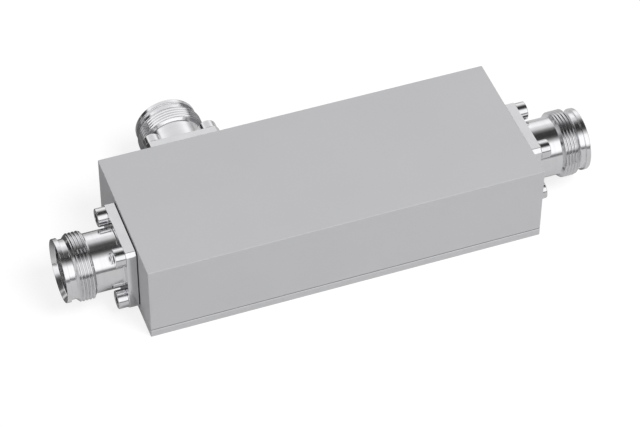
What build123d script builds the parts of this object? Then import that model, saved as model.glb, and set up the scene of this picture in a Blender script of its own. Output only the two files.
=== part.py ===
from build123d import *
from math import sqrt
import os

# Directional coupler: a milled housing with three threaded coaxial ports.
# Millimetres. The origin is the middle of the underside. X runs along the main line from
# the input port to the output port, Y points to the side of the coupled port, Z is up.

# Fits
press_gap = 0.02
thread_gap = 0.05
fit_gap = 0.1

# Coaxial port, measured out from the housing wall along its own axis
thread_radius = 10.0
neck_step = 1.2
collar_start = 11.6
collar_back_slope = 0.8
thread_length = 3.9
collar_front_slope = 1.15
groove_width = 1.65
groove_depth = 1.2
rim_length = 1.4
rim_step = 0.6
rim_back_edge = 0.1
rim_rounding = 0.28
rim_wall = 1.25
mouth_cone_depth = 1.35
mouth_length = 4.5
throat_step = 1.05
mouth_depth = 10.0
coax_radius = 5.0
bead_seat_step = 0.6
bead_front = 8.0
spigot_wall = 0.9
spigot_length = 2.0

# Square flange, its gasket and its screws
flange_thickness = 3.0
flange_corner = 1.1
flange_edge_margin = 2.7
head_to_neck = 0.47
screw_hole_gap = 0.1
gasket_thickness = 0.3
gasket_inset = 0.15

# Socket head cap screw of the flanges
flange_screw_radius = 1.5
flange_screw_length = 10.0
flange_head_radius = 2.75
flange_head_height = 3.0
flange_hex_width = 2.5
flange_hex_depth = 1.5
head_rounding = 0.25
screw_tip_room = 0.3
blind_hole_floor = 1.0

# Centre contact
contact_radius = 2.15
contact_recess = 5.2
contact_bore_radius = 1.25
contact_bore_depth = 5.0
contact_slot_width = 0.45
contact_slot_depth = 4.2
contact_slots = 4
contact_edge = 0.3
pin_radius = 1.5

# Housing and cover
housing_length = 120.0
housing_width = 48.0
cover_thickness = 2.8
flange_top_margin = 1.0
roof_thickness = 3.2
front_wall = 6.0
pocket_corner_radius = 3.0
corner_radius = 0.3
edge_break = 0.2
main_line_offset = 3.3
coupled_port_inset = 26.6

# Cover screws and mounting holes
cover_screw_radius = 1.5
cover_screw_length = 8.0
cover_head_radius = 2.8
cover_head_lip = 0.2
cover_head_recess = 0.1
cover_hex_width = 2.0
cover_hex_depth = 0.9
cover_screw_inset = 3.5
cover_screw_to_flange_screw = 7.0
mount_hole_inset = 4.5
mount_clearance_radius = 2.25
mount_thread_radius = 2.0
mount_hole_depth = 7.0

# Inner conductors
main_line_radius = 4.0
line_end_gap = 2.0
line_end_taper = 1.0
pin_engagement = 5.0
coupled_line_height = 8.0
coupled_line_thickness = 2.5
coupling_gap_ends = 3.0
coupling_gap_middle = 1.4
coupled_line_overhang = 4.0

# Insulating plates that carry both lines
support_thickness = 4.0
support_from_port = 8.5
support_from_load_end = 8.0
support_relief_radius = 2.5
jog_from_support = 5.0

# Load: a resistor on a small flange, screwed to a land of the rear wall
load_end_gap = 8.0
load_flange_width = 6.4
load_flange_thickness = 1.5
load_edge_margin = 2.0
load_body_size = 6.0
load_body_thickness = 2.0
load_lead_width = 1.4
load_lead_thickness = 0.25
load_lead_gap = 2.0
load_lead_overlap = 2.5
load_lead_depth = 0.6
land_margin = 1.8
load_screw_radius = 1.25
load_screw_length = 6.0
load_head_radius = 2.1
load_head_height = 2.0
load_hex_width = 2.0
load_hex_depth = 1.0
load_head_gap = 0.2

# Worked out from the sizes above
neck_radius = thread_radius - neck_step
groove_radius = thread_radius - groove_depth
rim_radius = thread_radius - rim_step
mouth_radius = rim_radius - rim_wall
throat_radius = mouth_radius - throat_step
collar_top = collar_start + collar_back_slope
collar_end = collar_top + thread_length
groove_start = collar_end + collar_front_slope
rim_start = groove_start + groove_width
port_reach = rim_start + rim_length
throat_start = port_reach - mouth_length
mouth_floor = port_reach - mouth_depth
bead_seat_radius = coax_radius + bead_seat_step
spigot_radius = bead_seat_radius + spigot_wall
contact_tip = port_reach - contact_recess

flange_screw_offset = (neck_radius + flange_head_radius + head_to_neck) / sqrt(2)
flange_side = 2 * (flange_screw_offset + flange_edge_margin)
flange_face = gasket_thickness + flange_thickness
flange_hole_radius = flange_screw_radius + screw_hole_gap
flange_hole_depth = flange_screw_length - flange_face + screw_tip_room

wall_thickness = flange_hole_depth + blind_hole_floor
body_height = flange_side + flange_top_margin
housing_height = cover_thickness + body_height
port_height = housing_height - flange_top_margin - flange_side / 2
half_length = housing_length / 2
half_width = housing_width / 2
main_line_y = -main_line_offset
coupled_port_x = -half_length + coupled_port_inset

pocket_x = half_length - wall_thickness
pocket_front_y = -half_width + front_wall
pocket_back_y = half_width - wall_thickness
pocket_top = housing_height - roof_thickness
pocket_height = pocket_top - cover_thickness
pocket_length = 2 * pocket_x
pocket_width = pocket_back_y - pocket_front_y
pocket_middle_y = (pocket_back_y + pocket_front_y) / 2

main_line_end = pocket_x - line_end_gap
line_side_y = main_line_y + main_line_radius
coupled_front_y = line_side_y + coupling_gap_ends
coupled_middle_y = line_side_y + coupling_gap_middle
coupled_back_y = coupled_front_y + coupled_line_thickness
coupling_jog = coupled_front_y - coupled_middle_y

load_screw_spacing = load_body_size + 2 * (load_head_radius + load_head_gap)
load_flange_height = load_screw_spacing + 2 * load_edge_margin
load_x = pocket_x - load_end_gap - load_flange_width / 2
load_back_y = coupled_back_y - load_lead_depth + load_body_thickness
land_y = load_back_y + load_flange_thickness
land_x = load_x - load_flange_width / 2 - land_margin
coupled_line_start = coupled_port_x - coupled_line_overhang
coupled_line_end = load_x - load_body_size / 2 - load_lead_gap
support_positions = {
    "input_side_support": coupled_port_x + support_from_port,
    "load_side_support": coupled_line_end - support_from_load_end,
}

mount_x = half_length - mount_hole_inset
mount_y = half_width - mount_hole_inset
cover_screw_y = half_width - cover_screw_inset
outer_cover_screw_x = (mount_x - coupled_port_x + flange_screw_offset) / 2
inner_cover_screw_x = abs(coupled_port_x + flange_screw_offset + cover_screw_to_flange_screw)

ports = {
    "input": Plane((-half_length, main_line_y, port_height), x_dir=(0, 1, 0), z_dir=(-1, 0, 0)),
    "output": Plane((half_length, main_line_y, port_height), x_dir=(0, 1, 0), z_dir=(1, 0, 0)),
    "coupled": Plane((coupled_port_x, half_width, port_height), x_dir=(1, 0, 0), z_dir=(0, 1, 0)),
}
straight_pin_end = -(wall_thickness + line_end_gap + pin_engagement)
pin_ends = {
    "input": straight_pin_end,
    "output": straight_pin_end,
    "coupled": -(half_width - coupled_front_y),
}


def rod(radius, low, high):
    """Round bar along Z from low to high."""
    return Pos(0, 0, low) * Cylinder(radius, high - low, align=(Align.CENTER, Align.CENTER, Align.MIN))


def block(low, high):
    """Box between two opposite corners."""
    size = [b - a for a, b in zip(low, high)]
    return Pos(*low) * Box(*size, align=(Align.MIN, Align.MIN, Align.MIN))


def flange_screw_places():
    return GridLocations(2 * flange_screw_offset, 2 * flange_screw_offset, 2, 2)


def cover_screw_places():
    outer = GridLocations(2 * outer_cover_screw_x, 2 * cover_screw_y, 2, 2)
    inner = GridLocations(2 * inner_cover_screw_x, 2 * cover_screw_y, 2, 2)
    return list(outer) + list(inner)


def mount_places():
    return GridLocations(2 * mount_x, 2 * mount_y, 2, 2)


def load_screw_places():
    """Screw places on the load's land, in a frame whose Z points out of the land."""
    land = Plane((load_x, land_y, port_height), x_dir=(1, 0, 0), z_dir=(0, -1, 0))
    return [land.location * Pos(0, side * load_screw_spacing / 2, 0) for side in (-1, 1)]


def pocket():
    """The milled room for the lines, stepped where the rear wall carries the load."""
    room = Pos(0, pocket_middle_y) * RectangleRounded(pocket_length, pocket_width, pocket_corner_radius)
    land_depth = pocket_back_y - land_y
    land_length = pocket_x - land_x
    land = Pos(land_x, land_y) * Rectangle(land_length, land_depth, align=(Align.MIN, Align.MIN))
    return Pos(0, 0, cover_thickness) * extrude(room - land, pocket_height)


def port_cut():
    """Bore for the spigot and the coaxial line, with the four blind screw holes."""
    seat_depth = spigot_length + fit_gap
    cut = rod(coax_radius, -wall_thickness, 0) + rod(spigot_radius + fit_gap, -seat_depth, 0)
    screw_hole = rod(flange_screw_radius + thread_gap, -flange_hole_depth, 0)
    for place in flange_screw_places():
        cut += place * screw_hole
    return cut


def make_housing():
    low = (-half_length, -half_width, cover_thickness)
    body = block(low, (half_length, half_width, housing_height))
    body = fillet(body.edges().filter_by(Axis.Z), corner_radius)
    body = fillet(body.faces().sort_by(Axis.Z)[-1].edges(), edge_break)
    body = chamfer(body.faces().sort_by(Axis.Z)[0].edges(), edge_break)
    body -= pocket()
    for plane in ports.values():
        body -= plane.location * port_cut()
    tip = cover_head_recess + cover_screw_length + screw_tip_room
    cover_hole = rod(cover_screw_radius + thread_gap, cover_thickness, tip)
    for place in cover_screw_places():
        body -= place * cover_hole
    mount_hole = rod(mount_thread_radius, cover_thickness, cover_thickness + mount_hole_depth)
    for place in mount_places():
        body -= place * mount_hole
    load_hole_depth = load_screw_length - load_flange_thickness + screw_tip_room
    for place in load_screw_places():
        body -= place * rod(load_screw_radius + thread_gap, -load_hole_depth, 0)
    return body


def countersink(radius, low, lip, narrow_radius):
    """Straight lip and 45 degree cone, narrowing upwards from low."""
    cone_height = radius - narrow_radius
    cone = Cone(radius, narrow_radius, cone_height, align=(Align.CENTER, Align.CENTER, Align.MIN))
    return rod(radius, low, low + lip) + Pos(0, 0, low + lip) * cone


def make_bottom_cover():
    plate = block((-half_length, -half_width, 0), (half_length, half_width, cover_thickness))
    plate = fillet(plate.edges().filter_by(Axis.Z), corner_radius)
    faces = plate.faces().sort_by(Axis.Z)
    plate = chamfer(faces[0].edges() + faces[-1].edges(), edge_break)
    hole_radius = cover_screw_radius + screw_hole_gap
    lip = cover_head_recess + cover_head_lip
    screw_cut = rod(hole_radius, 0, cover_thickness)
    screw_cut += countersink(cover_head_radius + fit_gap, 0, lip, hole_radius)
    for place in cover_screw_places():
        plate -= place * screw_cut
    for place in mount_places():
        plate -= place * rod(mount_clearance_radius, 0, cover_thickness)
    return plate


def hex_socket(width, depth):
    """Hexagonal key socket that opens towards +Z at z = 0."""
    return Pos(0, 0, -depth) * extrude(RegularPolygon(width / 2, 6, major_radius=False), depth)


def cap_screw(radius, length, head_radius, head_height, hex_width, hex_depth):
    """Socket head cap screw: head above z = 0, shank below."""
    head = rod(head_radius, 0, head_height)
    head = fillet(head.edges().sort_by(Axis.Z)[-1], head_rounding)
    tip = chamfer(rod(radius, -length, 0).edges().sort_by(Axis.Z)[0], head_rounding)
    return head + tip - Pos(0, 0, head_height) * hex_socket(hex_width, hex_depth)


def make_flange_screws(plane):
    sizes = (flange_head_radius, flange_head_height, flange_hex_width, flange_hex_depth)
    screw = cap_screw(flange_screw_radius, flange_screw_length, *sizes)
    return [plane.location * Pos(0, 0, flange_face) * place * screw for place in flange_screw_places()]


def make_load_screws():
    sizes = (load_head_radius, load_head_height, load_hex_width, load_hex_depth)
    screw = cap_screw(load_screw_radius, load_screw_length, *sizes)
    return [place * Pos(0, 0, load_flange_thickness) * screw for place in load_screw_places()]


def make_cover_screws():
    low = cover_head_recess
    screw = countersink(cover_head_radius, low, cover_head_lip, cover_screw_radius)
    shank = rod(cover_screw_radius, low + cover_head_lip, low + cover_screw_length)
    screw += chamfer(shank.edges().sort_by(Axis.Z)[-1], head_rounding)
    screw -= Pos(0, 0, low) * Rot(180, 0, 0) * hex_socket(cover_hex_width, cover_hex_depth)
    return [place * screw for place in cover_screw_places()]


def flange_outline(side, corner):
    return chamfer(Rectangle(side, side).vertices(), corner)


def port_profile():
    """Half section of the turned port: radius across, distance from the wall upwards."""
    rim_side = (rim_radius, port_reach - rim_rounding)
    rim_middle = rim_rounding * (1 - 1 / sqrt(2))
    rim_front = (rim_radius - rim_rounding, port_reach)
    outside = Polyline(
        (bead_seat_radius, -spigot_length),
        (spigot_radius, -spigot_length),
        (spigot_radius, gasket_thickness),
        (neck_radius, gasket_thickness),
        (neck_radius, collar_start),
        (thread_radius, collar_top),
        (thread_radius, collar_end),
        (groove_radius, groove_start),
        (groove_radius, rim_start),
        (rim_radius - rim_back_edge, rim_start),
        (rim_radius, rim_start + rim_back_edge),
        rim_side,
    )
    rounding = ThreePointArc(rim_side, (rim_radius - rim_middle, port_reach - rim_middle), rim_front)
    inside = Polyline(
        rim_front,
        (mouth_radius, port_reach - mouth_cone_depth),
        (mouth_radius, throat_start),
        (throat_radius, throat_start),
        (throat_radius, mouth_floor),
        (coax_radius, mouth_floor),
        (coax_radius, bead_front),
        (bead_seat_radius, bead_front),
        (bead_seat_radius, -spigot_length),
    )
    return make_face(Plane.XZ * (outside + rounding + inside))


def make_connector_body(plane):
    """Flange, neck, threaded collar, groove and rim, all one turned and milled piece."""
    plate = extrude(flange_outline(flange_side, flange_corner), flange_thickness)
    plate -= rod(neck_radius, 0, flange_thickness)
    for place in flange_screw_places():
        plate -= place * rod(flange_hole_radius, 0, flange_thickness)
    tube = revolve(port_profile(), axis=Axis.Z)
    return plane.location * (Pos(0, 0, gasket_thickness) * plate + tube)


def make_flange_gasket(plane):
    outline = flange_outline(flange_side - 2 * gasket_inset, flange_corner)
    sheet = extrude(outline, gasket_thickness) - rod(spigot_radius + fit_gap, 0, gasket_thickness)
    for place in flange_screw_places():
        sheet -= place * rod(flange_hole_radius, 0, gasket_thickness)
    return plane.location * sheet


def make_insulator(plane):
    bead = rod(bead_seat_radius - press_gap, -spigot_length, bead_front)
    bead -= rod(pin_radius + press_gap, -spigot_length, bead_front)
    return plane.location * bead


def make_centre_contact(plane, pin_end):
    """Slotted spring socket in front of the bead, solder pin through and behind it."""
    socket = chamfer(rod(contact_radius, bead_front, contact_tip).edges().sort_by(Axis.Z)[-1], contact_edge)
    socket -= rod(contact_bore_radius, contact_tip - contact_bore_depth, contact_tip)
    slot = Box(contact_radius, contact_slot_width, contact_slot_depth,
               align=(Align.MIN, Align.CENTER, Align.MAX))
    for place in PolarLocations(0, contact_slots):
        socket -= place * Pos(0, 0, contact_tip) * slot
    return plane.location * (socket + rod(pin_radius, pin_end, bead_front))


def make_main_line():
    """Round bar from wall to wall, tapered at its ends and bored for the contact pins."""
    line = rod(main_line_radius, -main_line_end, main_line_end)
    line = chamfer(line.edges().filter_by(GeomType.CIRCLE), line_end_taper)
    for low, high in ((-main_line_end, -main_line_end + pin_engagement),
                      (main_line_end - pin_engagement, main_line_end)):
        line -= rod(pin_radius + press_gap, low, high)
    return Pos(0, main_line_y, port_height) * Rot(0, 90, 0) * line


def make_coupled_line():
    """Flat bar, jogged towards the main line in the middle for a tighter coupling."""
    jog_start = support_positions["input_side_support"] + jog_from_support
    jog_end = support_positions["load_side_support"] - jog_from_support
    front = [
        (coupled_line_start, coupled_front_y),
        (jog_start, coupled_front_y),
        (jog_start + coupling_jog, coupled_middle_y),
        (jog_end - coupling_jog, coupled_middle_y),
        (jog_end, coupled_front_y),
        (coupled_line_end, coupled_front_y),
    ]
    back = [(x, y + coupled_line_thickness) for x, y in reversed(front)]
    outline = make_face(Polyline(*front, *back, close=True))
    bar = Pos(0, 0, port_height - coupled_line_height / 2) * extrude(outline, coupled_line_height)
    pin_end = pin_ends["coupled"]
    pin_hole = rod(pin_radius + press_gap, pin_end - fit_gap, pin_end + 2 * coupled_line_thickness)
    return bar - ports["coupled"].location * pin_hole


def make_line_support(x):
    """Insulating plate across the pocket, with a hole for each line and two relief holes."""
    low = (x - support_thickness / 2, pocket_front_y + fit_gap, cover_thickness)
    high = (x + support_thickness / 2, pocket_back_y - fit_gap, pocket_top)
    plate = block(low, high)
    along = Pos(x, 0, port_height) * Rot(0, 90, 0)
    hole = rod(main_line_radius + press_gap, -support_thickness, support_thickness)
    plate -= along * Pos(0, main_line_y, 0) * hole
    half_slot = coupled_line_height / 2 + press_gap
    plate -= block(
        (x - support_thickness, coupled_front_y - press_gap, port_height - half_slot),
        (x + support_thickness, coupled_back_y + press_gap, port_height + half_slot),
    )
    relief = rod(support_relief_radius, -support_thickness, support_thickness)
    for y in (main_line_y - 2 * main_line_radius, coupled_back_y + main_line_radius):
        plate -= along * Pos(0, y, 0) * relief
    return plate


def make_load_resistor():
    """Small flange with a square ceramic body and a flat lead that lies on the coupled line."""
    half_flange = load_flange_width / 2
    half_body = load_body_size / 2
    half_lead = load_lead_width / 2
    body_front_y = load_back_y - load_body_thickness
    base = block(
        (load_x - half_flange, load_back_y, port_height - load_flange_height / 2),
        (load_x + half_flange, land_y, port_height + load_flange_height / 2),
    )
    for place in load_screw_places():
        base -= place * rod(load_screw_radius + screw_hole_gap, 0, load_flange_thickness)
    body = block(
        (load_x - half_body, body_front_y, port_height - half_body),
        (load_x + half_body, load_back_y, port_height + half_body),
    )
    lead = block(
        (coupled_line_end - load_lead_overlap, coupled_back_y, port_height - half_lead),
        (load_x, coupled_back_y + load_lead_thickness, port_height + half_lead),
    )
    return base + body + lead


def write(name, shape):
    """One STEP file a node. Identical fasteners stay separate solids in one file."""
    solids = shape if isinstance(shape, list) else [shape]
    group = Compound(children=list(solids)) if len(solids) > 1 else solids[0]
    group.label = name
    export_step(group, os.path.join("parts", name + ".step"))
    print(name, len(solids), "solids")


os.makedirs("parts", exist_ok=True)
write("housing", make_housing())
write("bottom_cover", make_bottom_cover())
write("cover_screws", make_cover_screws())
write("main_line", make_main_line())
write("coupled_line", make_coupled_line())
write("load_resistor", make_load_resistor())
write("load_screws", make_load_screws())
for name, x in support_positions.items():
    write(name, make_line_support(x))
for port, plane in ports.items():
    write(port + "_connector_body", make_connector_body(plane))
    write(port + "_flange_gasket", make_flange_gasket(plane))
    write(port + "_flange_screws", make_flange_screws(plane))
    write(port + "_insulator", make_insulator(plane))
    write(port + "_centre_contact", make_centre_contact(plane, pin_ends[port]))
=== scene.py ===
# %% [markdown]
# # A coaxial directional coupler
# The object is a flat painted aluminium box with three plated coaxial ports. A signal runs through it
# from end to end, and a small known share of it leaves by the port on the long side.
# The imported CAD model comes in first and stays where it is. Every looks-only piece is built around it,
# in the same frame: metres, X along the main line, Y towards the coupled port, Z up.

# %% Load the frame
import math

import bmesh
import bpy
from mathutils import Matrix, Vector


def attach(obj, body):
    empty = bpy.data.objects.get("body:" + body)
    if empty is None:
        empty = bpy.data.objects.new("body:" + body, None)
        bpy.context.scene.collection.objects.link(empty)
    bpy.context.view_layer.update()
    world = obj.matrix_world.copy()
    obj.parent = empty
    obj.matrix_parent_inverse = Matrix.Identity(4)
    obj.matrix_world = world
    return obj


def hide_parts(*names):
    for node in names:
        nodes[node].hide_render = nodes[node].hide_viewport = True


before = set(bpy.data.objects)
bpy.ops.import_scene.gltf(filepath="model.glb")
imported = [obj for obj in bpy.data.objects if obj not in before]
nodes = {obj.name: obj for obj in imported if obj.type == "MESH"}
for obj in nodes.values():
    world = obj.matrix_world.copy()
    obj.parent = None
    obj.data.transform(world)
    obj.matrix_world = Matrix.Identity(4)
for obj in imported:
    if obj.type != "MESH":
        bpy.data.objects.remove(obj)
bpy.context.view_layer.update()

MM = 0.001

# %% [markdown]
# ## The camera
# The photograph was taken with a long lens from the front left, looking down at about 46 degrees.
# A camera can be aimed with a constraint or with a look-at helper. Here its three axes are worked out
# from azimuth, elevation and roll, because a straight sum shows what each angle does. The small slide
# sideways and up puts the box where it sits in the picture without any lens shift.

# %% Camera
AZIMUTH, ELEVATION, ROLL = (math.radians(a) for a in (-20.31, 45.61, 0.42))
DISTANCE = 0.8006
SLIDE_RIGHT, SLIDE_UP = -0.000188, 0.00458
FOCAL_LENGTH, SENSOR_WIDTH = 152.42, 36.0
NEAREST, FURTHEST = 0.01, 50.0

away = Vector((
    math.sin(AZIMUTH) * math.cos(ELEVATION),
    -math.cos(AZIMUTH) * math.cos(ELEVATION),
    math.sin(ELEVATION),
))
level = Vector((0, 0, 1)).cross(away).normalized()
upright = away.cross(level)
right = level * math.cos(ROLL) + upright * math.sin(ROLL)
up = upright * math.cos(ROLL) - level * math.sin(ROLL)
spot = away * DISTANCE + right * SLIDE_RIGHT + up * SLIDE_UP

camera = bpy.data.objects.new("camera", bpy.data.cameras.new("camera"))
camera.data.lens = FOCAL_LENGTH
camera.data.sensor_width = SENSOR_WIDTH
camera.data.clip_start = NEAREST
camera.data.clip_end = FURTHEST
camera.matrix_world = Matrix.Translation(spot) @ Matrix((right, up, away)).transposed().to_4x4()
bpy.context.scene.collection.objects.link(camera)
bpy.context.scene.camera = camera
print("camera at", [round(v, 3) for v in camera.location])

# %% [markdown]
# ## Shader maths
# A material is a graph of nodes. Linking sockets one call at a time hides the sum behind the calls, so
# one small class wraps a socket and lets it stand in an ordinary Python expression. Each operator adds
# the Math node that does it. Every other node comes from one method, which takes the node's type, its
# settings and what goes into its sockets.

# %% A socket that can stand in a sum
class Signal:
    """One output socket of a graph, usable like a number."""

    def __init__(self, graph, socket):
        self.graph = graph
        self.socket = socket

    def __add__(self, other):
        return self.graph.maths("ADD", self, other)

    def __radd__(self, other):
        return self.graph.maths("ADD", other, self)

    def __sub__(self, other):
        return self.graph.maths("SUBTRACT", self, other)

    def __rsub__(self, other):
        return self.graph.maths("SUBTRACT", other, self)

    def __mul__(self, other):
        return self.graph.maths("MULTIPLY", self, other)

    def __rmul__(self, other):
        return self.graph.maths("MULTIPLY", other, self)

    def __abs__(self):
        return self.graph.maths("ABSOLUTE", self)


# %% The graph and its one way to add a node
class Graph:
    """The nodes of one material or of the world."""

    def __init__(self, owner):
        owner.use_nodes = True
        self.tree = owner.node_tree
        self.tree.nodes.clear()

    def node(self, kind, settings=None, inputs=None, output=0):
        """Adds a node, makes its settings, fills its sockets and returns one of its outputs."""
        made = self.tree.nodes.new(kind)
        for name, value in (settings or {}).items():
            if name == "stops":
                self.set_stops(made.color_ramp.elements, value)
            else:
                setattr(made, name, value)
        for name, value in (inputs or {}).items():
            self.feed(made.inputs[name], value)
        return Signal(self, made.outputs[output]) if made.outputs else None

    def feed(self, socket, value):
        if isinstance(value, Signal):
            self.tree.links.new(value.socket, socket)
        else:
            socket.default_value = value

    def set_stops(self, elements, stops):
        while len(elements) < len(stops):
            elements.new(1.0)
        for element, (place, shade) in zip(elements, stops):
            element.position = place
            element.color = (shade, shade, shade, 1.0)

    def maths(self, operation, *values):
        return self.node("ShaderNodeMath", {"operation": operation}, dict(enumerate(values)))

    def split(self, vector):
        """The three numbers of a vector."""
        parts = self.node("ShaderNodeSeparateXYZ", {}, {"Vector": vector}).socket.node.outputs
        return [Signal(self, part) for part in parts]

    def dot(self, first, second):
        """How far one vector reaches along another."""
        return self.node("ShaderNodeVectorMath", {"operation": "DOT_PRODUCT"}, {0: first, 1: second}, 1)

    def mix_colours(self, first, second, mask):
        # The colours of this node are its sockets 6 and 7, and the mixed one is its output 2.
        return self.node("ShaderNodeMix", {"data_type": "RGBA"}, {0: mask, 6: first, 7: second}, 2)

    def noise(self, place, scale, detail=2.0):
        return self.node("ShaderNodeTexNoise", {}, {"Vector": place, "Scale": scale, "Detail": detail})

    def ramp(self, value, *stops):
        return self.node("ShaderNodeValToRGB", {"stops": stops}, {"Fac": value})

    def bump(self, height, depth, strength=1.0):
        return self.node("ShaderNodeBump", {}, {"Height": height, "Distance": depth, "Strength": strength})


# %% A finish
# Which output of the Texture Coordinate node gives the object's own coordinates.
OBJECT_PLACE = 3


def grey(shade, warmth=0.0):
    """A linear grey, warmer for a positive warmth and cooler for a negative one."""
    return (shade * (1 + warmth), shade, shade * (1 - warmth), 1.0)


def blend(first, second, share=0.5):
    """Two signals added, the first by its share and the second by the rest."""
    return first * share + second * (1 - share)


def new_finish(name):
    material = bpy.data.materials.new(name)
    return material, Graph(material)


def close_finish(graph, **sockets):
    """Adds the main shader, sets its sockets and joins it to the output."""
    inputs = {name.replace("_", " "): value for name, value in sockets.items()}
    shader = graph.node("ShaderNodeBsdfPrincipled", {}, inputs)
    graph.node("ShaderNodeOutputMaterial", {}, {"Surface": shader})


print("shader helpers ready")

# %% [markdown]
# ## Housing paint
# The box has a matt, light grey paint, the same on the housing and on its bottom cover. Close up such a
# coat is never flat: the spray leaves a fine orange peel, the tone drifts a little from one area to the
# next, and the gloss drifts with it. Three noises at three sizes give these. They read the object's own
# coordinates, which are metres here, so a scale of 900 means grains of about a millimetre.
# The cover's joint runs round the box just above its underside. The broken edges of the two solids leave
# a fine V there, but it is thinner than a pixel of this picture. So the paint carries it by height: a
# painted shade as a dark hairline in the V, where the lower chamfer faces away from the light, and below
# it a painted highlight as a paler line on the cover's upper edge, which faces up to the light.

# %% Tones of the paint
PAINT = (0.540, 0.540, 0.553, 1.0)
PAINT_SHADE = (0.515, 0.515, 0.528, 1.0)
PAINT_EDGES = (0.25, 0.0), (0.75, 1.0)
CLOUDS, PEEL_GRAINS, FINE_GRAINS = 38.0, 900.0, 4200.0
CLOUD_SHARE, PEEL_SHARE = 0.6, 0.7
PAINT_ROUGHNESS, GLOSS_DRIFT = 0.50, 0.06
PEEL_DEPTH, PEEL_STRENGTH = 0.00001, 0.8
SEAM_HEIGHT, SEAM_WIDTH = 0.00285, 0.0002
# Painted shade: the dark hairline in the V of the cover's joint.
SEAM_PAINTED_SHADE = grey(0.06)
SEAM_EDGES = (0.5, 1.0), (1.0, 0.0)
# Painted highlight: the paler line on the cover's upper edge, lit from above.
COVER_EDGE_PAINTED_HIGHLIGHT = (0.60, 0.60, 0.613, 1.0)
COVER_HIGHLIGHT_REACH = 0.0008
COVER_HIGHLIGHT_EDGES = (0.25, 0.0), (0.35, 1.0), (0.65, 1.0), (0.9, 0.0)


# %% Paint
def make_paint():
    material, graph = new_finish("housing_paint_matt")
    place = graph.node("ShaderNodeTexCoord", output=OBJECT_PLACE)
    clouds = graph.noise(place, CLOUDS)
    peel = graph.noise(place, PEEL_GRAINS)
    grains = graph.noise(place, FINE_GRAINS, 1.0)
    tone = graph.ramp(blend(clouds, grains, CLOUD_SHARE), *PAINT_EDGES)
    coat = graph.mix_colours(PAINT_SHADE, PAINT, tone)
    under_seam = SEAM_HEIGHT - graph.split(place)[2]
    # Painted shade in the joint's V, found by height.
    seam_shade_mask = graph.ramp(abs(under_seam * (1 / SEAM_WIDTH)), *SEAM_EDGES)
    # Painted highlight on the cover's edge just below the joint.
    cover_painted_highlight = graph.ramp(under_seam * (1 / COVER_HIGHLIGHT_REACH), *COVER_HIGHLIGHT_EDGES)
    coat = graph.mix_colours(coat, COVER_EDGE_PAINTED_HIGHLIGHT, cover_painted_highlight)
    close_finish(
        graph,
        Base_Color=graph.mix_colours(coat, SEAM_PAINTED_SHADE, seam_shade_mask),
        Roughness=PAINT_ROUGHNESS + clouds * GLOSS_DRIFT + grains * GLOSS_DRIFT,
        Normal=graph.bump(blend(peel, grains, PEEL_SHARE), PEEL_DEPTH, PEEL_STRENGTH),
    )
    return material


paint = make_paint()
print("made", paint.name)

# %% [markdown]
# ## Turned and plated metal
# The port bodies are turned from brass and plated bright. The tool leaves rings so fine that they are
# seen only as a soft drag in the reflections. A ring has the same radius and the same height all round,
# so the noise reads just those two numbers: on a cylinder it draws lines around, on a face it draws
# circles. Every turned piece carries its own lathe coordinates in an attribute named lathe, which keeps
# the rings true wherever the piece is placed.
# The thread has a darker tone than the smooth parts, a painted shade for the light that its own grooves
# keep from its flanks, and a still darker painted shade deep in its roots. Ramps over the lathe's height
# and radius find both.

# %% A place on the lathe
def lathe_place(graph):
    """Where a point is on its own lathe: the place itself, its radius and its height, in metres."""
    own = graph.node("ShaderNodeAttribute", {"attribute_name": "lathe"}, output=1)
    flat = graph.node("ShaderNodeVectorMath", {"operation": "MULTIPLY"}, {0: own, 1: (1.0, 1.0, 0.0)})
    radius = graph.node("ShaderNodeVectorMath", {"operation": "LENGTH"}, {0: flat}, 1)
    return own, radius, graph.split(own)[2]


# %% Where the thread is
THREAD_LOW, THREAD_SPAN = 0.0112, 0.0062
THREAD_ENDS = (0.0, 0.0), (0.3, 1.0), (0.82, 1.0), (1.0, 0.0)
BORE_LIMIT, BORE_SPAN = 0.0090, 0.001
BORE_EDGES = (0.35, 0.0), (0.55, 1.0)
# Painted shade deep in the thread's roots, by radius.
ROOT_SHADE_LOW, ROOT_SHADE_SPAN = 0.0096, 0.0004
ROOT_SHADE_EDGES = (0.1, 1.0), (0.85, 0.0)
ROOT_SHADE_SHARE = 0.3


def thread_masks(graph, radius, height):
    """Where the thread is, outside the bores, and how much painted shade its roots get."""
    thread = graph.ramp((height - THREAD_LOW) * (1 / THREAD_SPAN), *THREAD_ENDS)
    thread = thread * graph.ramp((radius - BORE_LIMIT) * (1 / BORE_SPAN), *BORE_EDGES)
    # Painted shade in the roots, darker the deeper the radius.
    depth = graph.ramp((radius - ROOT_SHADE_LOW) * (1 / ROOT_SHADE_SPAN), *ROOT_SHADE_EDGES)
    return thread, thread * depth * ROOT_SHADE_SHARE


# %% Turned metal
TONE_EDGES = (0.3, 0.0), (0.7, 1.0)
# Painted shade in the thread's roots.
ROOT_PAINTED_SHADE = (0.40, 0.40, 0.415, 1.0)
# Painted shade: the darker tone over the whole thread, for the light its grooves hold back.
THREAD_PAINTED_SHADE = (0.71, 0.71, 0.725, 1.0)
THREAD_PAINTED_SHADE_SHARE = 0.8
FINE_RINGS, BROAD_RINGS, HAZE = 7000.0, 1300.0, 160.0
RING_DRAG, HAZE_DRIFT = 0.05, 0.04


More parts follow.
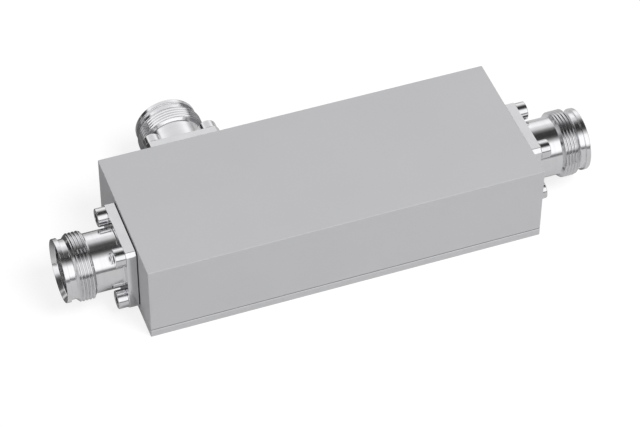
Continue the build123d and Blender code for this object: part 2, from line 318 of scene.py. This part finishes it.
def make_turned(name, light, dark, roughness, ring_depth):
    material, graph = new_finish(name)
    own, radius, height = lathe_place(graph)
    rings = graph.node("ShaderNodeCombineXYZ", {}, {"X": radius, "Y": height})
    fine = graph.noise(rings, FINE_RINGS, 1.0)
    broad = graph.noise(rings, BROAD_RINGS)
    haze = graph.noise(own, HAZE)
    thread, root_shade = thread_masks(graph, radius, height)
    metal = graph.mix_colours(dark, light, graph.ramp(blend(broad, haze), *TONE_EDGES))
    # The thread gets its painted shade here.
    metal = graph.mix_colours(metal, THREAD_PAINTED_SHADE, thread * THREAD_PAINTED_SHADE_SHARE)
    close_finish(
        graph,
        Base_Color=graph.mix_colours(metal, ROOT_PAINTED_SHADE, root_shade),
        Metallic=1.0,
        Roughness=roughness + fine * (1 - thread) * RING_DRAG + haze * HAZE_DRIFT,
        Normal=graph.bump(broad * (1 - thread), ring_depth),
    )
    return material


plating = make_turned(
    "connector_plating_bright", (0.83, 0.83, 0.846, 1.0), (0.77, 0.77, 0.785, 1.0),
    roughness=0.10, ring_depth=0.0000016,
)
steel = make_turned(
    "screw_steel_bright", (0.80, 0.80, 0.815, 1.0), (0.70, 0.70, 0.715, 1.0),
    roughness=0.08, ring_depth=0.000001,
)
print("made", plating.name, "and", steel.name)

# %% [markdown]
# ## Small parts
# The parts inside and between are seen only from some sides: the thin black gaskets under the flanges,
# the white beads and the slotted contacts in the sockets, and the lines behind them. They keep their
# CAD shape, so all that they need is a finish that reads the object's own coordinates.

# %% One recipe for the small parts
CLOUDS_PER_GRAIN = 0.15
GRAIN_DRIFT = 0.08


def make_plain(name, light, dark, grain, depth, roughness, metallic=0.0):
    material, graph = new_finish(name)
    place = graph.node("ShaderNodeTexCoord", output=OBJECT_PLACE)
    grains = graph.noise(place, grain)
    clouds = graph.noise(place, grain * CLOUDS_PER_GRAIN)
    close_finish(
        graph,
        Base_Color=graph.mix_colours(dark, light, graph.ramp(blend(grains, clouds), *TONE_EDGES)),
        Metallic=metallic,
        Roughness=roughness + grains * GRAIN_DRIFT,
        Normal=graph.bump(grains, depth),
    )
    return material


# %% Finishes of the small parts
rubber = make_plain(
    "gasket_rubber_black", grey(0.022), grey(0.014),
    grain=2500.0, depth=0.000006, roughness=0.62)
fluoropolymer = make_plain(
    "insulator_white", grey(0.84, 0.01), grey(0.79, 0.01),
    grain=900.0, depth=0.000004, roughness=0.34)
silver = make_plain(
    "silver_plating", (0.93, 0.91, 0.87, 1.0), (0.85, 0.82, 0.77, 1.0),
    grain=3200.0, depth=0.0000012, roughness=0.16, metallic=1.0)
contact_silver = make_plain(
    "contact_silvered", (0.92, 0.88, 0.80, 1.0), (0.84, 0.79, 0.70, 1.0),
    grain=4200.0, depth=0.000001, roughness=0.14, metallic=1.0)
ceramic = make_plain(
    "load_ceramic_glaze", grey(0.72, 0.03), grey(0.66, 0.03),
    grain=1500.0, depth=0.000003, roughness=0.22)
cover_steel = make_plain(
    "cover_screw_steel", grey(0.72), grey(0.62),
    grain=4200.0, depth=0.0000012, roughness=0.20, metallic=1.0)
small_finishes = rubber, fluoropolymer, silver, contact_silver, ceramic, cover_steel
print("made", [finish.name for finish in small_finishes])

# %% Dress the CAD nodes
SLOT_FINISHES = {
    "housing_paint": paint,
    "connector_plating": plating,
    "screw_steel": cover_steel,
    "contact_plating": contact_silver,
    "line_silver": silver,
    "white_insulator": fluoropolymer,
    "gasket_rubber": rubber,
    "load_ceramic": ceramic,
}
for node in nodes.values():
    for place, old in enumerate(node.data.materials):
        node.data.materials[place] = SLOT_FINISHES[old.name.split(".")[0]]
print("dressed", len(nodes), "CAD nodes")

# %% [markdown]
# ## Port bodies
# Each port is one piece: a square milled flange, and on it a turned neck, a threaded collar, a groove
# and a rim with a bored mouth. A plain CAD cylinder can't show the thread, so these three pieces are
# rebuilt in mesh code and stand for their CAD nodes. A Screw modifier could sweep the thread, but it
# leaves open ends. A lathe grid whose rows climb one pitch a turn closes cleanly on both sides, so that
# is the way used here. All sizes are millimetres on the port's own lathe: radius, and height from the
# housing wall outwards.

# %% Rings and bands
SIDES = 144


def circle(radius, height, sides=SIDES):
    return [
        (radius * math.cos(math.tau * i / sides), radius * math.sin(math.tau * i / sides), height)
        for i in range(sides)
    ]


def add_ring(mesh, points):
    return [mesh.verts.new(p) for p in points]


def add_face(mesh, corners, smooth):
    """A face of the corners that differ, or none if fewer than three do."""
    unique = list(dict.fromkeys(corners))
    if len(unique) > 2:
        face = mesh.faces.new(unique)
        face.smooth = smooth


def add_band(mesh, low, high, smooth=True):
    """Quads between two rings with as many points each."""
    for i in range(len(low)):
        j = (i + 1) % len(low)
        add_face(mesh, (low[i], low[j], high[j], high[i]), smooth)


def add_bands(mesh, rings, smooth=True):
    for low, high in zip(rings, rings[1:]):
        add_band(mesh, low, high, smooth)


# %% Softened outlines
GUARD = 1.35


def rounding(corner, back, on, steps):
    """Points of a curve that cuts a corner: from the corner plus back to the corner plus on."""
    return [corner + back * (1 - i / steps) ** 2 + on * (i / steps) ** 2 for i in range(steps + 1)]


def soften(corners, steps=3):
    """An outline (radius, height, cut) with each corner cut back and rounded between two guard points.

    The guard points keep the smooth shading of a rounding off the long faces beside it.
    """
    path = [corners[0][:2]]
    for before, here, after in zip(corners, corners[1:], corners[2:]):
        corner = Vector(here[:2])
        cut = here[2]
        if not cut:
            path.append(tuple(corner))
            continue
        back = (Vector(before[:2]) - corner).normalized() * cut
        on = (Vector(after[:2]) - corner).normalized() * cut
        curve = [corner + back * GUARD, *rounding(corner, back, on, steps), corner + on * GUARD]
        path += [tuple(point) for point in curve]
    path.append(corners[-1][:2])
    return path


# %% Where a CAD node is
def node_box(name):
    """The lowest and the highest corner of a CAD node, in millimetres."""
    node = nodes[name]
    corners = [node.matrix_world @ Vector(corner) / MM for corner in node.bound_box]
    spans = list(zip(*corners))
    return Vector([min(span) for span in spans]), Vector([max(span) for span in spans])


# %% Sizes of a port
NECK, THREAD, ROOT, RIM, GROOVE = 8.8, 10.0, 9.68, 9.4, 8.8
COLLAR_START, COLLAR_TOP, COLLAR_FRONT = 11.6, 12.4, 16.3
GROOVE_START, RIM_START, REACH = 17.45, 19.1, 20.5
COLLAR_END = COLLAR_FRONT + (GROOVE_START - COLLAR_FRONT) * (THREAD - ROOT) / (THREAD - GROOVE)
RIM_FACE = 0.3
MOUTH, MOUTH_CONE = 8.15, 1.35
THROAT, THROAT_START, THROAT_END = 7.1, 16.0, 10.5
COAX, BEAD_SEAT, BEAD_FRONT = 5.0, 5.6, 8.0
SPIGOT, SPIGOT_END = 6.5, -2.0
NECK_FILLET, NECK_FILLET_CUT = 0.55, 0.35

FLANGE_BACK, FLANGE_FACE = 0.3, 3.3
body_low, body_high = node_box("input_connector_body")
FLANGE_SIDE = body_high.y - body_low.y
FLANGE_CORNER, FLANGE_MARGIN = 1.1, 2.7
SCREW_OFFSET, SCREW_HOLE = FLANGE_SIDE / 2 - FLANGE_MARGIN, 1.6
print("flange side:", round(FLANGE_SIDE, 3), "screws off the axis by:", round(SCREW_OFFSET, 3))

# %% Outlines of a port
GROOVE_LOW = (ROOT, COLLAR_END)
below_thread = soften([
    (NECK + NECK_FILLET, FLANGE_FACE, 0), (NECK, FLANGE_FACE, NECK_FILLET_CUT), (NECK, COLLAR_START, 0),
])
above_thread = soften([
    GROOVE_LOW + (0,), (GROOVE, GROOVE_START, 0.2), (GROOVE, RIM_START, 0.15), (RIM, RIM_START, 0.1),
    (RIM, REACH, 0.25), (RIM - RIM_FACE, REACH, 0.04), (MOUTH, REACH - MOUTH_CONE, 0.1),
    (MOUTH, THROAT_START, 0.1), (THROAT, THROAT_START, 0.1), (THROAT, THROAT_END, 0.15),
    (COAX, THROAT_END, 0.12), (COAX, BEAD_FRONT, 0.02), (BEAD_SEAT, BEAD_FRONT, 0.02),
    (BEAD_SEAT, SPIGOT_END, 0.1), (SPIGOT, SPIGOT_END, 0.2), (SPIGOT, FLANGE_BACK, 0),
], 4)[1:]
print("port outline:", len(below_thread) + len(above_thread), "rings besides the thread")

# %% The form of the thread
# One turn from root to root: part of a pitch, and how far from the root towards the crest.
PITCH = 1.0
FOOT = [(0.07, 0.0), (0.09, 0.02)]
FLANK = [(0.11 + 0.05 * step, 0.07 + 0.17 * step) for step in range(6)]
CREST = [(0.38, 0.98), (0.40, 1.0), (0.42, 1.0), (0.46, 1.0)]
RISE = FOOT + FLANK + CREST
FALL = [(1 - part, share) for part, share in reversed(RISE)]
THREAD_FORM = [(0.0, 0.0), (0.035, 0.0)] + RISE + [(0.5, 1.0)] + FALL + [(0.965, 0.0)]


def collar_limit(height):
    """Radius of the collar's chamfered envelope, which cuts the thread off at both ends."""
    back = NECK + (height - COLLAR_START) * (THREAD - NECK) / (COLLAR_TOP - COLLAR_START)
    front = ROOT + (COLLAR_END - height) * (THREAD - ROOT) / (COLLAR_END - COLLAR_FRONT)
    return min(THREAD, back, front)


print("thread form:", len(THREAD_FORM), "rows a turn")

# %% The thread
TOUCH = 1e-6


def add_thread(mesh, low_ring, high_ring):
    """A right-handed thread between two rings, as rows that climb one pitch in a turn."""
    form = len(THREAD_FORM)
    turns = math.ceil((COLLAR_END - COLLAR_START) / PITCH) + 1
    columns = []
    for j in range(SIDES):
        turn = j / SIDES
        column = []
        for k in range(turns * form + 1):
            part, share = THREAD_FORM[k % form]
            height = COLLAR_START + PITCH * (k // form - 1 + part + turn)
            if height < COLLAR_START + TOUCH:
                column.append(low_ring[j])
            elif height > COLLAR_END - TOUCH:
                column.append(high_ring[j])
            else:
                radius = min(ROOT + (THREAD - ROOT) * share, collar_limit(height))
                angle = math.tau * turn
                column.append(mesh.verts.new((radius * math.cos(angle), radius * math.sin(angle), height)))
        columns.append(column)
    # A full turn ends on the first column, one pitch further up.
    columns.append((columns[0] + [high_ring[0]] * form)[form:])
    for here, beside in zip(columns, columns[1:]):
        for k in range(turns * form):
            add_face(mesh, (here[k], beside[k], beside[k + 1], here[k + 1]), True)


# %% The flange's outline
PLAN_ROUNDING = 0.12
BACK_BREAK = 0.12
FRONT_BREAK, FRONT_BREAK_MIDDLE = 0.18, 0.05
SCREW_HOLE_SIDES = 24


def flange_ring(inset, height):
    """The flange's outline with cut corners, moved in by inset, each corner a little rounded."""
    half = FLANGE_SIDE / 2 - inset
    cut = FLANGE_CORNER - (2 - math.sqrt(2)) * inset
    corners = []
    for x, y in ((1, 1), (-1, 1), (-1, -1), (1, -1)):
        pair = [Vector((x * half, y * (half - cut))), Vector((x * (half - cut), y * half))]
        corners += pair if x * y > 0 else pair[::-1]
    points = []
    for before, corner, after in zip(corners[-1:] + corners, corners, corners[1:] + corners[:1]):
        back = (before - corner).normalized() * PLAN_ROUNDING
        on = (after - corner).normalized() * PLAN_ROUNDING
        points += [(point.x, point.y, height) for point in rounding(corner, back, on, 2)]
    return points


# %% The flange
def ring_edges(ring):
    """The edges between neighbours on a ring."""
    return [
        next(edge for edge in vertex.link_edges if edge.other_vert(vertex) is following)
        for vertex, following in zip(ring, ring[1:] + ring[:1])
    ]


def add_plate(mesh, outer, inner_rings, normal):
    """A flat face between an outer ring and the rings inside it."""
    edges = [edge for ring in [outer, *inner_rings] for edge in ring_edges(ring)]
    made = bmesh.ops.triangle_fill(mesh, use_beauty=True, edges=edges, normal=normal)
    for item in made["geom"]:
        if isinstance(item, bmesh.types.BMFace):
            item.smooth = False


def screw_corners():
    """Where the four screws of a flange stand, as x and y."""
    return [(x, y) for x in (-SCREW_OFFSET, SCREW_OFFSET) for y in (-SCREW_OFFSET, SCREW_OFFSET)]


def hole_ring(x, y, height):
    """The edge of the screw hole at x and y."""
    return [(x + px, y + py, h) for px, py, h in circle(SCREW_HOLE, height, SCREW_HOLE_SIDES)]


def add_flange(mesh, back_circle, front_circle):
    rings = [add_ring(mesh, flange_ring(inset, height)) for inset, height in (
        (BACK_BREAK, FLANGE_BACK), (0.0, FLANGE_BACK + BACK_BREAK), (0.0, FLANGE_FACE - FRONT_BREAK),
        (FRONT_BREAK_MIDDLE, FLANGE_FACE - FRONT_BREAK_MIDDLE), (FRONT_BREAK, FLANGE_FACE))]
    add_bands(mesh, rings, False)
    fronts, backs = [], []
    for x, y in screw_corners():
        back, front = (add_ring(mesh, hole_ring(x, y, height)) for height in (FLANGE_BACK, FLANGE_FACE))
        add_band(mesh, back, front)
        backs.append(back)
        fronts.append(front)
    add_plate(mesh, rings[0], [back_circle, *backs], (0, 0, -1))
    add_plate(mesh, rings[-1], [front_circle, *fronts], (0, 0, 1))


# %% From mesh code to an object
def finish_mesh(name, mesh, own_places=None):
    """Closes a mesh in millimetres: outward faces, metres, and the lathe attribute."""
    bmesh.ops.recalc_face_normals(mesh, faces=mesh.faces)
    loose = [v for v in mesh.verts if not v.link_faces]
    bmesh.ops.delete(mesh, geom=loose, context="VERTS")
    open_edges = sum(len(e.link_faces) != 2 for e in mesh.edges)
    data = bpy.data.meshes.new(name)
    mesh.to_mesh(data)
    mesh.free()
    lathe = data.attributes.new("lathe", "FLOAT_VECTOR", "POINT")
    for vertex, item in zip(data.vertices, lathe.data):
        vertex.co *= MM
        item.vector = own_places(vertex.co) if own_places else vertex.co
    print(name, "triangles:", sum(len(p.vertices) - 2 for p in data.polygons), "open edges:", open_edges)
    return data


# %% The body of a port
def make_port_mesh():
    mesh = bmesh.new()
    outside = [add_ring(mesh, circle(r, h)) for r, h in below_thread]
    inside = [add_ring(mesh, circle(r, h)) for r, h in [GROOVE_LOW] + above_thread]
    add_bands(mesh, outside)
    add_bands(mesh, inside)
    add_thread(mesh, outside[-1], inside[0])
    add_flange(mesh, inside[-1], outside[0])
    for ring in (outside[-1], inside[0]):
        for edge in ring_edges(ring):
            edge.smooth = False
    return finish_mesh("port", mesh)


port_mesh = make_port_mesh()

# %% [markdown]
# ## Flange screws
# Four socket head cap screws hold each flange. The head is turned, with a rounded top edge and a
# pressed hexagon socket. The CAD screw has the right size, but its socket has knife edges, so the looks
# piece is rebuilt with a broken edge round the top and a small lead-in at the socket. The four hexagons
# of a flange never line up on a real part, so each screw is turned by its own angle.

# %% Screw sizes
SHANK, SHANK_TIP, SHANK_LENGTH = 1.5, 0.3, 10.0
HEAD, HEAD_HEIGHT, HEAD_ROUNDING = 2.75, 3.0, 0.28
HEAD_FACE = 1.75
HEX_HALF, HEX_FLOOR = 1.25, 1.5
LEAD_IN, LEAD_IN_DEPTH = 1.52, 0.12
DRILL, DRILL_POINT = 1.0, 0.35
HEAD_SIDES = 48
HEX_TURNS = (7, 34, 52, 19)


def hexagon(half_width, height):
    """A hexagon with as many points as a circle of the head."""
    points = []
    for x, y, z in circle(1.0, height, HEAD_SIDES):
        angle = math.atan2(y, x) % (math.tau / 6) - math.tau / 12
        reach = half_width / math.cos(angle)
        points.append((x * reach, y * reach, z))
    return points


# %% One screw
def add_screw(mesh, x, y, turn):
    """One cap screw at x and y, its head on the flange, turned about its axis."""
    first = len(mesh.verts)
    outline = soften([
        (SHANK_TIP, -SHANK_LENGTH, 0), (SHANK, -SHANK_LENGTH, 0.25), (SHANK, 0, 0.1), (HEAD, 0, 0.12),
        (HEAD, HEAD_HEIGHT, HEAD_ROUNDING), (HEAD_FACE, HEAD_HEIGHT, 0)], 4)
    rings = [add_ring(mesh, circle(r, h, HEAD_SIDES)) for r, h in outline]
    add_bands(mesh, rings)
    add_face(mesh, rings[0], False)
    floor = HEAD_HEIGHT - HEX_FLOOR
    lead = add_ring(mesh, circle(LEAD_IN, HEAD_HEIGHT, HEAD_SIDES))
    brim = add_ring(mesh, hexagon(HEX_HALF, HEAD_HEIGHT - LEAD_IN_DEPTH))
    floor_edge = add_ring(mesh, hexagon(HEX_HALF, floor))
    drill = add_ring(mesh, circle(DRILL, floor, HEAD_SIDES))
    tip = mesh.verts.new((0, 0, floor - DRILL_POINT))
    add_bands(mesh, [rings[-1], lead, brim, floor_edge, drill], False)
    for i in range(HEAD_SIDES):
        add_face(mesh, (drill[i], drill[(i + 1) % HEAD_SIDES], tip), True)
    place = Matrix.Translation((x, y, FLANGE_FACE)) @ Matrix.Rotation(math.radians(turn), 4, "Z")
    mesh.verts.ensure_lookup_table()
    bmesh.ops.transform(mesh, matrix=place, verts=mesh.verts[first:])


# %% The four screws of a flange
def screw_lathe(place):
    """Where a point is on its own screw, whose axis is the nearest corner's."""
    offset = SCREW_OFFSET * MM
    return (place.x - math.copysign(offset, place.x), place.y - math.copysign(offset, place.y), place.z)


def make_screws_mesh():
    mesh = bmesh.new()
    for (x, y), turn in zip(screw_corners(), HEX_TURNS):
        add_screw(mesh, x, y, turn)
    return finish_mesh("cap_screws", mesh, screw_lathe)


screws_mesh = make_screws_mesh()

# %% [markdown]
# ## Placing the ports
# The three ports differ only in where they stand, so each takes a copy of the same two meshes and a
# matrix. Its columns are the port's own X, Y and Z in the frame: Z points out of the housing. The place
# of each port isn't typed in but read off its CAD body, so the new piece stands where the old one did.

# %% Ports in place
PORT_WAYS = {
    "input": ((0, 1, 0), (-1, 0, 0)),
    "output": ((0, 1, 0), (1, 0, 0)),
    "coupled": ((1, 0, 0), (0, 1, 0)),
}


def port_matrix(body, across, outward):
    """The matrix of the port that a CAD body stands for, from its own X and Z."""
    low, high = node_box(body)
    across, outward = Vector(across), Vector(outward)
    origin = (low + high) / 2 - outward * (REACH + SPIGOT_END) / 2
    turned = Matrix((across, outward.cross(across), outward)).transposed().to_4x4()
    return Matrix.Translation(origin * MM) @ turned


def place_piece(name, mesh, finish, matrix, node):
    """Stands a copy of a mesh in the frame in place of a CAD node."""
    piece = bpy.data.objects.new(name, mesh.copy())
    piece.data.name = name
    piece.data.materials.append(finish)
    piece.matrix_world = matrix
    bpy.context.scene.collection.objects.link(piece)
    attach(piece, "root")
    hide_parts(node)


for port, (across, outward) in PORT_WAYS.items():
    body, screws = port + "_connector_body", port + "_flange_screws"
    matrix = port_matrix(body, across, outward)
    place_piece(port + "_threaded_body", port_mesh, plating, matrix, body)
    place_piece(port + "_cap_screws", screws_mesh, steel, matrix, screws)
    print(port, "port placed at", [round(v / MM, 3) for v in matrix.translation])

# %% [markdown]
# ## Floor and background
# The picture has a pure white background. White paper under a lamp would need so much light that the
# part bleaches too. So the floor stays a pale sheet, and only what is seen of it is lifted to white
# through Light Path: a glow is added to a weaker diffuse surface, and the part's soft shadow stays on
# it. To the paint it is a plain grey sheet that throws light back up.
# Bright metal mirrors the sheet with hardly any glow, and that pale grey is the lower half of each port.
# Behind the part lies a painted shadow, a dark patch on the sheet that only mirrors see, for the part's
# own cast shadow. It gives the dark spots low in the mouths.

# %% Kinds of rays
def ray_kinds(graph):
    """Whether a ray comes from the camera, from a mirror or through glass: 1 or 0 each."""
    path = graph.node("ShaderNodeLightPath").socket.node
    kinds = "Is Camera Ray", "Is Glossy Ray", "Is Transmission Ray"
    return [Signal(graph, path.outputs[kind]) for kind in kinds]


# %% Floor finish
# Painted shadow: a dark patch on the floor behind the part, seen only in mirrors.
PAINTED_SHADOW_WAY, PAINTED_SHADOW_SIDE = (-0.66, 0.75, 0.0), (0.75, 0.66, 0.0)
PAINTED_SHADOW_WIDTH, PAINTED_SHADOW_LENGTH = 0.25, 0.5
PAINTED_SHADOW_ACROSS = (0.08, 0.0), (0.22, 1.0), (0.46, 1.0), (0.60, 0.0)
PAINTED_SHADOW_ALONG = (0.09, 0.0), (0.16, 1.0), (0.70, 1.0), (0.90, 0.0)
PAINTED_SHADOW_TONE = grey(0.06)
PAPER_DARK, PAPER_LIGHT, PAPER_CLOUDS = grey(0.60), grey(0.62), 20.0
SHEET_TONE, SEEN_TONE = grey(0.70), grey(0.22)
FLOOR_GLOW, FLOOR_GLOW_CUT = 0.82, 0.78


def make_floor_finish():
    material, graph = new_finish("floor_white")
    camera_ray, glossy_ray, transmission_ray = ray_kinds(graph)
    place = graph.node("ShaderNodeTexCoord", output=OBJECT_PLACE)
    paper = graph.mix_colours(PAPER_DARK, PAPER_LIGHT, graph.noise(place, PAPER_CLOUDS))
    # The painted shadow goes into what mirrors see of the floor.
    across = graph.ramp(graph.dot(place, PAINTED_SHADOW_SIDE) * (1 / PAINTED_SHADOW_WIDTH) + 0.5, *PAINTED_SHADOW_ACROSS)
    along = graph.ramp(graph.dot(place, PAINTED_SHADOW_WAY) * (1 / PAINTED_SHADOW_LENGTH), *PAINTED_SHADOW_ALONG)
    mirrored = graph.mix_colours(paper, PAINTED_SHADOW_TONE, across * along)
    plain = graph.node("ShaderNodeBsdfDiffuse", {}, {"Color": SHEET_TONE})
    seen = graph.mix_colours(SEEN_TONE, mirrored, glossy_ray)
    shadowed = graph.node("ShaderNodeBsdfDiffuse", {}, {"Color": seen})
    strength = FLOOR_GLOW - glossy_ray * FLOOR_GLOW_CUT
    glow = graph.node("ShaderNodeEmission", {}, {"Color": grey(1.0), "Strength": strength})
    lifted = graph.node("ShaderNodeAddShader", {}, {0: shadowed, 1: glow})
    lift = camera_ray + transmission_ray + glossy_ray
    surface = graph.node("ShaderNodeMixShader", {}, {0: lift, 1: plain, 2: lifted})
    graph.node("ShaderNodeOutputMaterial", {}, {"Surface": surface})
    return material


# %% Floor
FLOOR_HALF = 6.0
FLOOR_DROP = -0.00002


def make_sheet(name, corners, material):
    """A flat stage sheet through its corners, which isn't part of the object."""
    data = bpy.data.meshes.new(name)
    data.from_pydata(corners, [], [tuple(range(len(corners)))])
    data.materials.append(material)
    sheet = bpy.data.objects.new(name, data)
    bpy.context.scene.collection.objects.link(sheet)


signs = (-1, -1), (1, -1), (1, 1), (-1, 1)
floor_corners = [(x * FLOOR_HALF, y * FLOOR_HALF, FLOOR_DROP) for x, y in signs]
make_sheet("floor", floor_corners, make_floor_finish())
print("floor of", 2 * FLOOR_HALF, "m")

# %% [markdown]
# ## The room
# The camera sees plain white behind the part. Bright metal shows nothing but its room, though, and in a
# room that is white all round it looks like plaster. A photographer stands cards around the part for
# this and hides each from the lens. Here the world carries them itself, because a direction is all that
# a distant card is: Light Path tells it that a mirror is looking, and the direction gives the
# brightness.
# The angle over the part, from front to back, picks the band. A bright panel stands in front, the
# ceiling is a dark strip, a second panel stands behind, and where the panels end above the floor there
# is a thin dark line. These are the white and black bands along every cylinder. Both end walls are plain
# and light, four places near the corners are darker, and a light panel hangs in the middle of the
# ceiling, for the faces that look straight up.

# %% The parts of the room
WORLD_LEVEL = 0.32
BRIGHTEST = 1.3
# Share of the half turn from the front over the top to the back, and brightness.
ARCH = [
    (0.0, 0.18), (0.045, 0.18), (0.075, 1.0), (0.11, 1.25), (0.30, 1.2),
    (0.36, 0.55), (0.42, 0.10), (0.47, 0.04), (0.58, 0.05), (0.64, 0.25),
    (0.70, 0.72), (0.76, 0.86), (0.81, 1.15), (0.90, 1.05), (1.0, 0.62),
]
SIDE_WALLS = (0.86, 0.0), (0.93, 1.0)
SIDE_GLOW = 0.72
# Direction, degrees from it where the dark ends and where it is full, and what is left of the light.
DARK_PLACES = [
    ((-0.70, 0.69, 0.15), 18, 11, 0.05),
    ((0.74, 0.67, -0.10), 27, 17, 0.65),
    ((0.93, -0.30, 0.22), 16, 11, 0.04),
    ((-0.84, 0.40, 0.36), 18, 13, 0.10),
]
# Middle of the ceiling panel along X and Y, and how far off it ends and is full.
PANEL_X, PANEL_Y = (-0.04, 0.14, 0.125), (0.11, 0.15, 0.13)
PANEL_GLOW = 0.75


# %% What a mirror sees of the room
def band(graph, place, middle, outer, inner):
    """1 where a place is within inner of the middle, and 0 where it is further off than outer."""
    return graph.node("ShaderNodeMapRange", {}, {0: abs(place - middle), 1: outer, 2: inner})


def studio_glow(graph):
    """How bright the room is in a direction, for what mirrors it."""
    toward = graph.node("ShaderNodeTexCoord")
    x, y, z = graph.split(toward)
    over = graph.maths("ARCTAN2", z, 0 - y) * (1 / math.pi)
    glow = graph.ramp(over, *[(place, shade / BRIGHTEST) for place, shade in ARCH]) * BRIGHTEST
    aside = graph.ramp(abs(x), *SIDE_WALLS)
    glow = glow * (1 - aside) + aside * SIDE_GLOW
    for way, outer, inner, level in DARK_PLACES:
        nearness = graph.dot(toward, tuple(Vector(way).normalized()))
        edges = (math.cos(math.radians(outer)), 1.0), (math.cos(math.radians(inner)), level)
        glow = glow * graph.ramp(nearness, *edges)
    panel = band(graph, x, *PANEL_X) * band(graph, y, *PANEL_Y)
    return glow * (1 - panel) + panel * PANEL_GLOW


# %% World
def make_world():
    world = bpy.data.worlds.new("studio")
    graph = Graph(world)
    camera_ray, glossy_ray, transmission_ray = ray_kinds(graph)
    room = graph.node("ShaderNodeBackground", {}, {"Color": grey(1.0), "Strength": WORLD_LEVEL})
    brightness = 1 + glossy_ray * (studio_glow(graph) - 1)
    white = graph.node("ShaderNodeBackground", {}, {"Color": grey(1.0), "Strength": brightness})
    seen = camera_ray + transmission_ray + glossy_ray
    surface = graph.node("ShaderNodeMixShader", {}, {0: seen, 1: room, 2: white})
    graph.node("ShaderNodeOutputWorld", {}, {"Surface": surface})
    world.cycles.sampling_method = "NONE"
    bpy.context.scene.world = world


make_world()
print("world:", len(ARCH), "stops over the part,", len(DARK_PLACES), "dark places")

# %% [markdown]
# ## Lamps
# Matt paint needs little. One large soft lamp stands high at the front right, a weak one low at the
# left, and the room's own light fills the rest. A sun lamp would be simpler, but its shadows are too
# hard for a product picture. Mirrors don't see the lamps, so the bands in the metal come from the room
# alone.

# %% Lamps
LAMP_DISTANCE = 2.2


def direction(azimuth, elevation):
    """Azimuth 0 is in front of the part and 90 to its right, in degrees."""
    a, e = math.radians(azimuth), math.radians(elevation)
    return Vector((math.sin(a) * math.cos(e), -math.cos(a) * math.cos(e), math.sin(e)))


def add_lamp(name, toward, size, power):
    """A round area lamp that shines at the origin from its direction."""
    lamp = bpy.data.lights.new(name, "AREA")
    lamp.shape = "DISK"
    lamp.size = size
    lamp.energy = power
    holder = bpy.data.objects.new(name, lamp)
    holder.location = toward.normalized() * LAMP_DISTANCE
    holder.rotation_euler = toward.to_track_quat("Z", "Y").to_euler()
    holder.visible_glossy = False
    holder.visible_camera = False
    bpy.context.scene.collection.objects.link(holder)
    print(name, "of", power, "W")


add_lamp("key_lamp", direction(30, 56), size=1.0, power=35.8)
add_lamp("fill_lamp", direction(-75, 25), size=1.6, power=5.0)

# %% [markdown]
# ## Colours
# The Standard view shows each tone as it was worked out, while the default one would grey the white
# background.

# %% Colour management
bpy.context.scene.view_settings.view_transform = "Standard"
